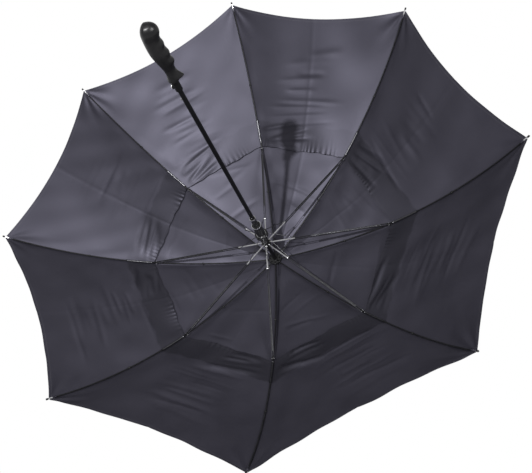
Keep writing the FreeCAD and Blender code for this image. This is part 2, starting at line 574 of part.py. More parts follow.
def make_canopy(doc, number, turn):
    """The cloth of the lower canopy that hangs on one outer rib: a half gore on each side, sewn together at it."""
    first, last = arc_angle(SIZE["lower_hem_r"]), SIZE["tip_slope"] + SIZE["cloth_end"]
    slopes = [first + (last - first) * row / LOWER_STRIPS for row in range(LOWER_STRIPS + 1)]
    profile = [arc_point(slope, SIZE["cloth_gap"] + SIZE["cloth_thick"]) for slope in slopes]
    cloth = doc.addObject("Part::Feature", f"canopy_{number}")
    halves = [half_gore(profile, side) for side in (1, -1)]
    cloth.Shape = Part.makeCompound(halves)
    return finish(cloth, f"canopy_{number}", turn)


def make_top_canopy(doc):
    """The upper canopy: one flat-cut gore between each two ribs, from the crown to the vent's open edge."""
    last = arc_angle(SIZE["top_hem_r"])
    first = arc_angle(SIZE["top_hole_r"])
    profile = []
    for row in range(UPPER_STRIPS + 1):
        share = row / UPPER_STRIPS
        gap = SIZE["top_rise"] + (SIZE["vent_gap"] - SIZE["top_rise"]) * share ** 2
        profile.append(arc_point(first + (last - first) * share, gap))
    to_next = Rotation(Z_AXIS, STEP)
    gore = panel_solid([(Vector(x, 0, z), to_next.multVec(Vector(x, 0, z))) for x, z in profile])
    gores = [gore.rotated(ORIGIN, Z_AXIS, rib * STEP) for rib in range(RIBS)]
    cloth = doc.addObject("Part::Feature", "top_canopy")
    cloth.Shape = Part.makeCompound(gores)
    return finish(cloth, "top_canopy")


def write_parts(doc, parts):
    """Checks every object of the document and then writes each sub-part to its own STEP file."""
    doc.recompute()
    for obj in doc.Objects:
        if "Invalid" in obj.State or "Error" in obj.State:
            raise RuntimeError(f"{obj.Name} failed to compute: {obj.State}")
    for obj in parts:
        if obj.Shape.isNull() or not obj.Shape.isValid():
            raise RuntimeError(f"{obj.Label} has no valid shape")
    os.makedirs("parts", exist_ok=True)
    for obj in parts:
        obj.Shape.exportStep(os.path.join("parts", obj.Label + ".step"))
    print(len(parts), "sub-parts written")


def build():
    """Makes the document and every sub-part in it."""
    derive()
    doc = FreeCAD.newDocument("golf_umbrella")
    make_sheet(doc)
    parts = [make(doc) for make in (make_shaft, make_handle, make_button, make_bezel, make_latch, make_ferrule,
                                    make_notch, make_hub, make_collar, make_rims, make_spring, make_top_canopy)]
    for number in range(1, RIBS + 1):
        turn = STEP * (number - 1)
        for make in (make_inner_rib, make_outer_rib, make_stretcher, make_link, make_strut, make_canopy):
            parts.append(make(doc, number, turn))
    write_parts(doc, parts)


build()
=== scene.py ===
"""Looks of an automatic golf umbrella with a vented double canopy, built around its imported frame. Units are metres.

The shaft lies on Z with the canopy on top, rib 1 points along +X, and gore n lies between rib n and the next one.
The cloth is cut at the middle of each gore, so that every rib carries half a gore on each side and furls with it.
Both halves of a gore are drawn on one surface with one set of folds, so the open canopy reads as whole gores.
"""
import json
import math
import random

import bpy
import numpy as np
from mathutils import Matrix, Vector


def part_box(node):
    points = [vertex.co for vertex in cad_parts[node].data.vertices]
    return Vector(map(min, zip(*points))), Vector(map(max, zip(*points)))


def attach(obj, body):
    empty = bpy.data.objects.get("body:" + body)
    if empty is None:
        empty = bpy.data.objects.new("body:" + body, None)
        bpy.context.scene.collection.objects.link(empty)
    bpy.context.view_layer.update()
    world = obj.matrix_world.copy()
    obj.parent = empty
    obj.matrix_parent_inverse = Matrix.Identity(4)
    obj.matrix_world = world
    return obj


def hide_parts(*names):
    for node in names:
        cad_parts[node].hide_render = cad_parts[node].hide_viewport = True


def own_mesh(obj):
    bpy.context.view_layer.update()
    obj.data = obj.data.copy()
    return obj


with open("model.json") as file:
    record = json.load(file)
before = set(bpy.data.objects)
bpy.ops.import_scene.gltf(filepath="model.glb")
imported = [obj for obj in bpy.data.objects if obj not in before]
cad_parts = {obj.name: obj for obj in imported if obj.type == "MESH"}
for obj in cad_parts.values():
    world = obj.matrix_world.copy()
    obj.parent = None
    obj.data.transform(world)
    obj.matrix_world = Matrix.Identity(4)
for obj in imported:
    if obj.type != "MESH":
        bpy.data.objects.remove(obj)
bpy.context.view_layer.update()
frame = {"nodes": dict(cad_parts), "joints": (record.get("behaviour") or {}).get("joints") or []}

JOINTS = {joint["name"]: joint for joint in frame["joints"]}
RIBS = sum(name.startswith("rib_fold_") for name in JOINTS)
STEP = 2 * math.pi / RIBS
CROWN = Vector(JOINTS["rib_fold_1"]["pos_m"])
MIDDLE = Vector(JOINTS["rib_flex_1"]["pos_m"])

# The lower cloth: its underside lies this far over the arc of the ribs.
CLOTH_GAP = 0.0042
CLOTH_THICK = 0.0005
HEM_WIDTH = 0.009
HEM_EXTRA = 0.0007
# Its outer hem is cut in this far at mid gore, and its inner hem droops into the vent.
SCALLOP = 0.019
LOWER_SAG = 0.009
VENT_DROOP = 0.005
# The upper cloth: it rises from the crown to the open edge of the vent.
TOP_HOLE_R = 0.0075
TOP_RISE = 0.007
TOP_EDGE_RISE = 0.0146
TOP_SAG = 0.006
# Wrinkles die out within this distance of a rib, and the fold at mid gore is this wide.
RIB_HOLD = 0.03
CREASE_WIDTH = 0.004
# The thread of a hem: how far it runs from the edge, the half width of its row and the length of a stitch.
STITCH_INSET = 0.0072
STITCH_HALF = 0.0005
STITCH_LENGTH = 0.0036
THREAD_PITCH = 0.0011

CLOTH_CORNER = (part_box("canopy_1")[1].x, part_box("canopy_1")[0].z - CLOTH_GAP)
LOWER_INNER_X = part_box("canopy_1")[0].x / math.cos(STEP / 2) ** 2
TOP_EDGE_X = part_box("top_canopy")[1].x


def circle_through(a, b, c):
    """(centre x, centre z, radius) of the circle through three points of the plane."""
    rows = np.array([[2 * (q[0] - p[0]), 2 * (q[1] - p[1])] for p, q in ((a, b), (b, c))])
    sides = np.array([q[0] ** 2 - p[0] ** 2 + q[1] ** 2 - p[1] ** 2 for p, q in ((a, b), (b, c))])
    x, z = np.linalg.solve(rows, sides)
    return x, z, math.dist((x, z), a)


ARC_X, ARC_Z, ARC_R = circle_through((CROWN.x, CROWN.z), (MIDDLE.x, MIDDLE.z), CLOTH_CORNER)


def rib_height(x):
    """Height of the arc of the ribs at distance x from the shaft."""
    return ARC_Z + np.sqrt(ARC_R ** 2 - (x - ARC_X) ** 2)


def rib_slope(x):
    """Downward slope of the arc of the ribs at distance x from the shaft, in radians."""
    return np.arcsin((x - ARC_X) / ARC_R)


def fade(value, low, high):
    """A smooth step from 0 at low to 1 at high."""
    share = np.clip((value - low) / (high - low), 0, 1)
    return share * share * (3 - 2 * share)


# ---------------------------------------------------------------- materials

class Nodes:
    """A small helper that adds nodes to one material and links them."""

    def __init__(self, name):
        self.material = bpy.data.materials.new(name)
        self.material.use_nodes = True
        self.tree = self.material.node_tree
        self.shader = self.tree.nodes["Principled BSDF"]

    def add(self, kind, inputs=None, **settings):
        node = self.tree.nodes.new("ShaderNode" + kind)
        for key, value in settings.items():
            setattr(node, key, value)
        for key, value in (inputs or {}).items():
            self.put(node.inputs[key], value)
        return node

    def put(self, socket, value):
        """Links a socket to an output, or sets its value."""
        if isinstance(value, bpy.types.NodeSocket):
            self.tree.links.new(value, socket)
        else:
            socket.default_value = value

    def sum(self, operation, *values):
        node = self.add("Math", operation=operation)
        for socket, value in zip(node.inputs, values):
            self.put(socket, value)
        return node.outputs[0]

    def noise(self, scale, detail=3.0, vector=None, roughness=0.55):
        node = self.add("TexNoise", {"Scale": scale, "Detail": detail, "Roughness": roughness})
        if vector is None:
            vector = self.add("TexCoord").outputs["Object"]
        self.put(node.inputs["Vector"], vector)
        return node.outputs["Fac"]

    def stretched(self, x, y, z):
        """Object coordinates scaled by a factor along each axis."""
        place = self.add("TexCoord").outputs["Object"]
        return self.add("Mapping", {"Vector": place, "Scale": (x, y, z)}).outputs["Vector"]

    def ramp(self, value, low, high, dark, light):
        """Maps a value from low..high to a grey or a colour between dark and light."""
        node = self.add("ValToRGB", {"Fac": value})
        for element, place, tone in zip(node.color_ramp.elements, (low, high), (dark, light)):
            element.position = place
            element.color = (*tone, 1) if isinstance(tone, tuple) else (tone, tone, tone, 1)
        return node.outputs["Color"]

    def set(self, **values):
        """Sets sockets of the shader. An underscore stands for a space in a socket's name."""
        for key, value in values.items():
            if isinstance(value, tuple):
                value = (*value, 1)
            self.put(self.shader.inputs[key.replace("_", " ")], value)

    def bump(self, height, strength, distance):
        node = self.add("Bump", {"Height": height, "Strength": strength, "Distance": distance})
        self.put(self.shader.inputs["Normal"], node.outputs["Normal"])


def cloth_material():
    """Coated black pongee: a plain weave along and across the gore, a soft sheen, stitched hems, and painted shade
    where the vent flap lies over the cloth.
    """
    n = Nodes("pongee")
    uv = n.add("UVMap", uv_map="gore").outputs["UV"]
    axes = n.add("SeparateXYZ", {"Vector": uv}).outputs
    warp = n.sum("SINE", n.sum("MULTIPLY", axes["X"], 2 * math.pi / THREAD_PITCH))
    weft = n.sum("SINE", n.sum("MULTIPLY", axes["Y"], 2 * math.pi / THREAD_PITCH))
    weave = n.sum("MULTIPLY", warp, weft)
    slub = n.noise(1.0, 2.0, n.add("Mapping", {"Vector": uv, "Scale": (900, 40, 1)}).outputs["Vector"])
    cloud = n.noise(9.0, 4.0)
    tone = n.sum("ADD", n.sum("MULTIPLY", cloud, 0.7), n.sum("MULTIPLY", slub, 0.3))
    cloth = n.ramp(tone, 0.3, 0.7, (0.0070, 0.0067, 0.0092), (0.0115, 0.0109, 0.0148))
    hem = n.add("Attribute", attribute_name="hem").outputs["Fac"]
    row = n.sum("COMPARE", hem, STITCH_INSET, STITCH_HALF)
    beat = n.sum("SINE", n.sum("MULTIPLY", axes["X"], 2 * math.pi / STITCH_LENGTH))
    dash = n.sum("GREATER_THAN", beat, -0.5)
    stitch = n.sum("MULTIPLY", row, dash)
    thread = n.ramp(stitch, 0.0, 1.0, 0.0, 0.02)
    sewn = n.add("MixRGB", {"Fac": 1.0, "Color1": cloth, "Color2": thread}, blend_type="ADD").outputs["Color"]
    # Painted shade: the cloth's colour is darkened to 0.35 where the vent flap lies over it, for the light that the
    # second layer keeps out.
    flap_shade = n.ramp(n.add("Attribute", attribute_name="flap_shade").outputs["Fac"], 0.0, 1.0, 1.0, 0.35)
    colour = n.add("MixRGB", {"Fac": 1.0, "Color1": sewn, "Color2": flap_shade}, blend_type="MULTIPLY")
    n.set(Base_Color=colour.outputs["Color"], Roughness=n.ramp(cloud, 0.2, 0.8, 0.47, 0.56),
          Specular_IOR_Level=0.55, Specular_Tint=(0.80, 0.78, 1.0))
    height = n.sum("ADD", n.sum("MULTIPLY", weave, 0.5), n.sum("MULTIPLY", stitch, 3.0))
    n.bump(height, 0.22, 0.00008)
    return n.material


def grip_material():
    """Matt moulded rubber with a fine pebbled grain, a little polished where a hand rubs it."""
    n = Nodes("grip_rubber")
    grain = n.noise(1400.0, 2.0)
    wear = n.noise(45.0, 4.0)
    n.set(Base_Color=n.ramp(wear, 0.3, 0.75, (0.0030, 0.0030, 0.0034), (0.0065, 0.0063, 0.0068)),
          Roughness=n.ramp(wear, 0.25, 0.8, 0.28, 0.38), Specular_IOR_Level=0.16)
    n.bump(grain, 0.3, 0.00012)
    return n.material


def moulded_material():
    """Black moulded nylon with a faint spark-eroded grain."""
    n = Nodes("black_nylon")
    grain = n.noise(2200.0, 2.0)
    patch = n.noise(120.0, 3.0)
    n.set(Base_Color=n.ramp(patch, 0.3, 0.7, (0.005, 0.005, 0.0055), (0.009, 0.009, 0.0095)),
          Roughness=n.ramp(grain, 0.3, 0.7, 0.32, 0.42), Specular_IOR_Level=0.2)
    n.bump(grain, 0.25, 0.00006)
    return n.material


def paint_material():
    """Black satin paint on the steel shaft: a faint orange peel and hair scratches along the tube."""
    n = Nodes("shaft_paint")
    peel = n.noise(600.0, 2.0)
    scratch = n.noise(1.0, 5.0, n.stretched(3000, 3000, 24))
    n.set(Base_Color=n.ramp(scratch, 0.62, 0.8, (0.0030, 0.0030, 0.0034), (0.014, 0.014, 0.0145)),
          Roughness=n.ramp(scratch, 0.3, 0.8, 0.28, 0.38), Specular_IOR_Level=0.14)
    n.bump(peel, 0.12, 0.00006)
    return n.material


def rib_material():
    """Black lacquered glass-fibre rod with streaks along its length."""
    n = Nodes("rib_lacquer")
    streak = n.noise(260.0, 5.0)
    n.set(Base_Color=n.ramp(streak, 0.35, 0.7, (0.004, 0.004, 0.0045), (0.010, 0.010, 0.011)),
          Roughness=n.ramp(streak, 0.3, 0.7, 0.30, 0.42), Specular_IOR_Level=0.14)
    n.bump(streak, 0.1, 0.00005)
    return n.material


def metal_material(name, dark, light, rough, spread, wear_scale):
    """Bare or plated metal: small changes of tone and gloss, and fine scratches."""
    n = Nodes(name)
    patch = n.noise(wear_scale, 5.0)
    scratch = n.noise(1.0, 4.0, n.stretched(900, 900, 500))
    n.set(Base_Color=n.ramp(patch, 0.3, 0.7, dark, light), Metallic=1.0,
          Roughness=n.ramp(scratch, 0.3, 0.7, rough, rough + spread))
    n.bump(scratch, 0.08, 0.00004)
    return n.material


def floor_material():
    """Pale matt studio floor with a faint mottle."""
    n = Nodes("studio_floor")
    mottle = n.noise(3.0, 3.0)
    n.set(Base_Color=n.ramp(mottle, 0.2, 0.8, (0.50, 0.50, 0.50), (0.55, 0.55, 0.54)), Roughness=0.8)
    n.bump(n.noise(60.0), 0.02, 0.001)
    return n.material


CLOTH = cloth_material()
RUBBER = grip_material()
NYLON = moulded_material()
PAINT = paint_material()
LACQUER = rib_material()
PLATED = metal_material("plated_steel", (0.40, 0.40, 0.42), (0.58, 0.58, 0.60), 0.24, 0.16, 240.0)
DARK_STEEL = metal_material("black_nickel", (0.055, 0.055, 0.060), (0.120, 0.120, 0.128), 0.26, 0.14, 260.0)
WIRE = metal_material("strut_wire", (0.06, 0.06, 0.065), (0.12, 0.12, 0.125), 0.30, 0.15, 300.0)
CHROME = metal_material("bright_chrome", (0.72, 0.72, 0.74), (0.82, 0.82, 0.84), 0.10, 0.10, 90.0)
SPRING_STEEL = metal_material("spring_steel", (0.34, 0.34, 0.35), (0.48, 0.48, 0.49), 0.25, 0.15, 200.0)


# ---------------------------------------------------------------- mesh helpers

def mesh_object(name, vertices, faces, material, smooth=True):
    """A new mesh object with one material."""
    mesh = bpy.data.meshes.new(name)
    mesh.from_pydata([tuple(v) for v in vertices], [], [tuple(f) for f in faces])
    mesh.polygons.foreach_set("use_smooth", [smooth] * len(mesh.polygons))
    mesh.materials.append(material)
    piece = bpy.data.objects.new(name, mesh)
    bpy.context.scene.collection.objects.link(piece)
    return piece


def grid_faces(rows, columns, start=0, wrap=False, flip=False):
    """Quads of a grid of points that is stored row by row. With wrap, its last column joins its first."""
    faces = []
    for row in range(rows - 1):
        for column in range(columns if wrap else columns - 1):
            beside = (column + 1) % columns
            quad = (start + row * columns + column, start + row * columns + beside,
                    start + (row + 1) * columns + beside, start + (row + 1) * columns + column)
            faces.append(quad[::-1] if flip else quad)
    return faces


def turned_piece(name, profile, place, axis, material, around=32):
    """A closed body of revolution. The profile is (distance along the axis, radius) from pole to pole."""
    spin = Vector(axis).to_track_quat("Z", "Y")
    vertices = []
    for along, radius in profile:
        for part in range(around):
            angle = 2 * math.pi * part / around
            ring_point = Vector((radius * math.cos(angle), radius * math.sin(angle), along))
            vertices.append(Vector(place) + spin @ ring_point)
    faces = grid_faces(len(profile), around, wrap=True)
    faces.append(tuple(reversed(range(around))))
    faces.append(tuple(range((len(profile) - 1) * around, len(profile) * around)))
    return mesh_object(name, vertices, faces, material)


def swept_tube(name, path, radius, material, around=10):
    """A closed round tube along a list of points."""
    points = [Vector(p) for p in path]
    vertices = []
    for number, point in enumerate(points):
        before, after = points[max(number - 1, 0)], points[min(number + 1, len(points) - 1)]
        turn = (after - before).to_track_quat("Z", "Y")
        for part in range(around):
            angle = 2 * math.pi * part / around
            vertices.append(point + turn @ Vector((radius * math.cos(angle), radius * math.sin(angle), 0)))
    faces = grid_faces(len(points), around, wrap=True)
    faces.append(tuple(reversed(range(around))))
    faces.append(tuple(range((len(points) - 1) * around, len(points) * around)))
    return mesh_object(name, vertices, faces, material)


def rib_frame(rib):
    """(outward, sideways) unit vectors of a rib, counted from 1."""
    angle = STEP * (rib - 1)
    return Vector((math.cos(angle), math.sin(angle), 0)), Vector((-math.sin(angle), math.cos(angle), 0))


def on_rib(rib, x, rise=0.0, side=0.0):
    """A point beside a rib: x from the shaft, rise along the normal of the rib's arc, side along its width."""
    outward, sideways = rib_frame(rib)
    slope = float(rib_slope(x))
    normal = outward * math.sin(slope) + Vector((0, 0, math.cos(slope)))
    return outward * x + Vector((0, 0, float(rib_height(x)))) + normal * rise + sideways * side


# ---------------------------------------------------------------- cloth

def fold(x, share, length, width, depth, slant=0.0):
    """One crease of a gore: where its middle is, its half length and half width, its depth and its slant."""
    return {"x": x, "share": share, "length": length, "width": width, "depth": depth, "slant": slant}


def lower_folds(gore):
    """Creases of a lower gore: ripples that the stretched hem leaves in its middle, and slack beside the vent."""
    draw = random.Random(40 + gore)
    folds = []
    x = LOWER_INNER_X + 0.075
    middle, lean = draw.uniform(0.36, 0.64), draw.uniform(-0.14, 0.14)
    while x < CLOTH_CORNER[0] - 0.07:
        depth = draw.choice((-1, 1, 1)) * draw.uniform(0.0005, 0.0019)
        folds.append(fold(x, middle + draw.uniform(-0.10, 0.10), draw.uniform(0.030, 0.080),
                          draw.uniform(0.0045, 0.0085), depth, lean + draw.uniform(-0.07, 0.07)))
        x += draw.uniform(0.011, 0.027)
    side = draw.choice((0.27, 0.73))
    for number in range(4):
        folds.append(fold(LOWER_INNER_X + 0.014 + 0.016 * number + draw.uniform(-0.004, 0.004),
                          side + draw.uniform(-0.08, 0.08), draw.uniform(0.030, 0.060), draw.uniform(0.005, 0.009),
                          -draw.uniform(0.0016, 0.0042), (0.5 - side) * draw.uniform(0.4, 1.7)))
    return folds


def upper_folds(gore):
    """Creases of an upper gore: a few long soft ones."""
    draw = random.Random(80 + gore)
    return [fold(draw.uniform(0.16, 0.34), draw.uniform(0.3, 0.7), draw.uniform(0.03, 0.06),
                 draw.uniform(0.005, 0.009), draw.choice((-1, 1)) * draw.uniform(0.0004, 0.0011),
                 draw.uniform(-0.4, 0.4)) for number in range(4)]


def creased(folds, x, share, chord):
    """Depth of all the creases of a gore at each point."""
    total = np.zeros_like(x)
    for crease in folds:
        beside, out = (share - crease["share"]) * chord, x - crease["x"]
        along = beside * math.cos(crease["slant"]) + out * math.sin(crease["slant"])
        over = out * math.cos(crease["slant"]) - beside * math.sin(crease["slant"])
        total += crease["depth"] * np.exp(-(along / crease["length"]) ** 4 - (over / crease["width"]) ** 2)
    return total


def tip_pleats(x, share, chord, gore):
    """Pleats that run out of the two tips of a lower gore."""
    total = np.zeros_like(x)
    for end, number in ((share, 0), (1 - share, 1)):
        side, back = end * chord, CLOTH_CORNER[0] - x
        reach = np.hypot(side, back)
        bearing = np.arctan2(side, back)
        wave = np.sin(bearing * 8 + 2.6 * gore + number * 1.7)
        depth = 0.0008 + 0.0004 * math.sin(3.1 * gore + number)
        total += depth * wave * fade(reach, 0.004, 0.022) * (1 - fade(reach, 0.030, 0.085))
    return total


def gathers(x, share, chord, gore, edge, width, depth):
    """Small uneven puckers that a tight hem draws into an edge of the cloth, strong in some places only."""
    beside = (share - 0.5) * chord
    wave = np.sin(2 * math.pi * beside / 0.012 + gore + 2.4 * np.sin(beside / 0.017 + 2 * gore))
    patches = fade(np.sin(beside / 0.031 + 1.9 * gore) + 0.4 * np.sin(beside / 0.011 + gore), -0.2, 1.2)
    return depth * wave * patches * np.exp(-np.abs(x - edge) / width)


def vent_hem(gore, share):
    """Distance of the lower gore's inner hem from the shaft. It wanders, because only its stitching holds it."""
    place = share * 2 * LOWER_INNER_X * math.sin(STEP / 2)
    wander = 0.0016 * np.sin(place / 0.021 + 2.3 * gore) + 0.0009 * np.sin(place / 0.0062 + 1.3 * gore)
    return LOWER_INNER_X + 0.0026 + wander * fade(share * (1 - share), 0, 0.12)


def slack(x, share, chord, gore, seed):
    """Low waves of cloth that is not quite tight."""
    beside = (share - 0.5) * chord
    draw = random.Random(seed + gore)
    total = np.zeros_like(x)
    for number in range(5):
        bearing, phase = draw.uniform(0, math.pi), draw.uniform(0, 2 * math.pi)
        length = draw.uniform(0.06, 0.14)
        total += 0.0004 * np.sin(2 * math.pi * (beside * math.cos(bearing) + x * math.sin(bearing)) / length + phase)
    return total


def lower_surface(gore, x, share):
    """How far a point of a lower gore stands over the arc of the ribs, and how far it is pushed outwards."""
    chord = 2 * x * math.sin(STEP / 2)
    arch = 4 * share * (1 - share)
    reach = (x - LOWER_INNER_X) / (CLOTH_CORNER[0] - LOWER_INNER_X)
    held = fade(share * chord, 0, RIB_HOLD) * fade((1 - share) * chord, 0, RIB_HOLD)
    droop = VENT_DROOP * (1 + 0.55 * np.sin(share * 9 + 2.1 * gore)) * np.exp(-reach / 0.12)
    push = -arch * (LOWER_SAG * np.sin(math.pi * np.clip(reach, 0, 1)) + droop)
    wrinkles = creased(LOWER_FOLDS[gore], x, share, chord) + slack(x, share, chord, gore, 10)
    wrinkles += gathers(x, share, chord, gore, LOWER_INNER_X, 0.010, 0.0012)
    crease = -0.0007 * np.exp(-np.abs(share - 0.5) * chord / CREASE_WIDTH)
    return CLOTH_GAP + CLOTH_THICK / 2, push + held * (wrinkles + crease) + tip_pleats(x, share, chord, gore)


def upper_surface(gore, x, share):
    """The same for an upper gore."""
    chord = 2 * x * math.sin(STEP / 2)
    arch = 4 * share * (1 - share)
    reach = x / TOP_EDGE_X
    lift = TOP_RISE + (TOP_EDGE_RISE - TOP_RISE) * reach ** 2
    held = fade(share * chord, 0, RIB_HOLD) * fade((1 - share) * chord, 0, RIB_HOLD)
    push = -arch * TOP_SAG * np.sin(math.pi * np.clip(reach, 0, 1))
    wrinkles = creased(UPPER_FOLDS[gore], x, share, chord) + slack(x, share, chord, gore, 30)
    crease = -0.0006 * np.exp(-np.abs(share - 0.5) * chord / CREASE_WIDTH)
    return lift - CLOTH_THICK / 2, push + held * (wrinkles + crease)


def gore_points(surface, gore, x, share):
    """Points of one gore. Share runs from 0 at its own rib to 1 at the next rib."""
    start, middle = STEP * gore, STEP * (gore + 0.5)
    lift, push = surface(gore, x, share)
    ends = [np.stack([x * math.cos(angle), x * math.sin(angle)]) for angle in (start, start + STEP)]
    flat = ends[0] * (1 - share) + ends[1] * share
    slope = rib_slope(x)
    return np.stack([flat[0] + push * np.sin(slope) * math.cos(middle),
                     flat[1] + push * np.sin(slope) * math.sin(middle),
                     rib_height(x) + lift + push * np.cos(slope)], axis=-1)


def gore_normals(surface, gore, x, share):
    """Outward normals of one gore, from small steps along and across it. They match where two halves meet."""
    step = 0.0006
    low, high = np.clip(share - 0.002, 0, 1), np.clip(share + 0.002, 0, 1)
    across = gore_points(surface, gore, x, high) - gore_points(surface, gore, x, low)
    along = gore_points(surface, gore, x + step, share) - gore_points(surface, gore, x - step, share)
    normal = np.cross(along, across)
    return normal / np.linalg.norm(normal, axis=-1, keepdims=True)


def half_gore(surface, rib, side, stations, columns, hems):
    """A closed thin shell from a rib to the middle of the gore beside it.

    Gives its points, faces, normals, UVs, distance from the nearest hem, and a mask of painted shade where a second
    layer lies over it.

    Stations is a function of gore and share that gives the row of distances from the shaft. Hems tells which of the
    inner and the outer edge is hemmed.
    """
    gore = (rib - 1 if side > 0 else rib - 2) % RIBS
    shares = np.linspace(0, 0.5, columns)
    if side < 0:
        shares = 1 - shares
    x = np.stack([stations(gore, share) for share in shares], axis=1)
    share = np.broadcast_to(shares, x.shape)
    points, normals = gore_points(surface, gore, x, share), gore_normals(surface, gore, x, share)
    from_inner = x - x[0] if hems[0] else np.full_like(x, 1.0)
    from_outer = x[-1] - x if hems[1] else np.full_like(x, 1.0)
    hem = np.minimum(from_inner, from_outer) / np.cos(rib_slope(x))
    from_rib = np.minimum(share, 1 - share) * 2 * x * math.sin(STEP / 2)
    folded = np.maximum(1 - fade(hem, HEM_WIDTH, HEM_WIDTH + 0.001), 1 - fade(from_rib, 0.003, 0.0045))
    outer = points + normals * CLOTH_THICK / 2
    inner = points - normals * (CLOTH_THICK / 2 + HEM_EXTRA * folded)[..., None]
    rows, count = x.shape[0], x.size
    faces = grid_faces(rows, columns, flip=side > 0) + grid_faces(rows, columns, count, flip=side < 0)
    edge = [(row, 0) for row in range(rows)] + [(rows - 1, column) for column in range(1, columns)]
    edge += [(row, columns - 1) for row in range(rows - 2, -1, -1)]
    edge += [(0, column) for column in range(columns - 2, 0, -1)]
    loop = [row * columns + column for row, column in edge]
    for here, there in zip(loop, loop[1:] + loop[:1]):
        quad = (here, there, there + count, here + count)
        faces.append(quad if side < 0 else quad[::-1])
    uv = np.stack([(share - 0.5) * 2 * x * math.sin(STEP / 2), x / np.cos(rib_slope(x))], axis=-1)
    # Painted shade: a mask that darkens the lower cloth's colour inside the edge of the vent flap, where a second
    # layer lies over it.
    under_flap = TOP_EDGE_X - 0.003 + 0.002 * np.sin(share * 31 + gore)
    flap_shade = (1 - fade(x, under_flap - 0.001, under_flap + 0.001)) * (surface is lower_surface)
    vertices = np.concatenate([outer.reshape(-1, 3), inner.reshape(-1, 3)])
    facing = np.concatenate([normals.reshape(-1, 3), -normals.reshape(-1, 3)])
    on_both = [np.concatenate([values.reshape(count, -1)] * 2) for values in (uv, hem, flap_shade)]
    return vertices, faces, facing, *on_both


def cloth_piece(name, surface, rib, stations, columns, hems):
    """The two half gores of one rib as one piece."""
    parts = [half_gore(surface, rib, side, stations, columns, hems) for side in (1, -1)]
    shift = len(parts[0][0])
    faces = parts[0][1] + [tuple(corner + shift for corner in face) for face in parts[1][1]]
    vertices, normals, uvs, hem, flap_shade = (np.concatenate([part[key] for part in parts]) for key in (0, 2, 3, 4, 5))
    piece = mesh_object(name, vertices, faces, CLOTH)
    mesh = piece.data
    layer = mesh.uv_layers.new(name="gore")
    corners = np.zeros(len(mesh.loops), dtype=np.int32)
    mesh.loops.foreach_get("vertex_index", corners)
    layer.data.foreach_set("uv", uvs[corners].astype(np.float32).ravel())
    for label, values in (("hem", hem), ("flap_shade", flap_shade)):
        mesh.attributes.new(label, "FLOAT", "POINT").data.foreach_set("value", values.astype(np.float32).ravel())
    mesh.normals_split_custom_set_from_vertices([tuple(n) for n in normals])
    return piece


def stations_between(inner, outer, rows, hem_rows=(0.0, 0.5, 1.0, 1.15)):
    """A function of gore and share that gives rows of distances from the shaft, with extra rows along each hem."""
    def row(gore, share):
        low, high = inner(gore, share), outer(gore, share)
        hem = np.array(hem_rows) * HEM_WIDTH * 0.8
        body = np.linspace(low + hem[-1], high - hem[-1], rows)
        return np.concatenate([low + hem[:-1], body, (high - hem[:-1])[::-1]])
    return row


def dress(piece, body, node):
    """Attaches a cloth piece to the body of its rib, gives it a mesh of its own, and hides the plain cloth that it
    stands for.

    Cut flat, the piece is as long as its span of the rib's arc and as wide as a gore is at its outer edge.
    """
    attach(piece, body)
    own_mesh(piece)
    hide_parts(node)


def make_lower_cloth(rib):
    """The lower canopy's cloth at one rib, from the hem of the vent to the scalloped outer hem."""
    stations = stations_between(vent_hem, lambda gore, share: CLOTH_CORNER[0] - SCALLOP * 4 * share * (1 - share), 84)
    piece = cloth_piece(f"lower_cloth_{rib}", lower_surface, rib, stations, 45, (True, True))
    dress(piece, f"rib_end_{rib}", f"canopy_{rib}")


def make_crown_cloth(rib):
    """The upper canopy's cloth at one rib, from the crown to the middle joint."""
    stations = stations_between(lambda gore, share: TOP_HOLE_R, lambda gore, share: MIDDLE.x, 66, (0.0,))
    piece = cloth_piece(f"crown_cloth_{rib}", upper_surface, rib, stations, 29, (False, False))
    dress(piece, f"rib_{rib}", "top_canopy")


def make_vent_flap(rib):
    """The part of the upper canopy past the middle joint, which hangs free over the vent."""
    stations = stations_between(lambda gore, share: MIDDLE.x, lambda gore, share: TOP_EDGE_X, 20, (0.0,))
    piece = cloth_piece(f"vent_flap_{rib}", upper_surface, rib, stations, 29, (False, True))
    dress(piece, f"rib_end_{rib}", "top_canopy")


LOWER_FOLDS = [lower_folds(gore) for gore in range(RIBS)]
UPPER_FOLDS = [upper_folds(gore) for gore in range(RIBS)]


# ---------------------------------------------------------------- rib fittings

TIP_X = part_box("rib_outer_1")[1].x - 0.0115
# The barrel of a tip cap. It stays thinner than the gap between a rib and the cloth over it.
CAP_RADIUS = 0.0022


def make_tip_cap(rib):
    """The bright cap that holds the cloth on the end of a rib: a barrel with a low collar and a ball."""
    outward, _ = rib_frame(rib)
    slope = float(rib_slope(TIP_X))
    axis = outward * math.cos(slope) - Vector((0, 0, math.sin(slope)))
    place = on_rib(rib, TIP_X)
    half, chamfer, draft = 0.0108, 0.0004, 0.00005
    collar_start, collar_end, ramp, collar = 0.0, 0.0012, 0.0008, CAP_RADIUS + 0.0002
    profile = [(-half - chamfer / 2, CAP_RADIUS - chamfer), (-half, CAP_RADIUS - draft),
               (collar_start - ramp, CAP_RADIUS), (collar_start, collar), (collar_end, collar),
               (collar_end + ramp, CAP_RADIUS), (half, CAP_RADIUS)]
    profile += [(half + CAP_RADIUS * math.sin(turn), CAP_RADIUS * math.cos(turn))
                for turn in np.linspace(0.15, 1.45, 6)]
    piece = turned_piece(f"tip_cap_{rib}", profile, place, axis, CHROME, 24)
    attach(piece, f"rib_end_{rib}")


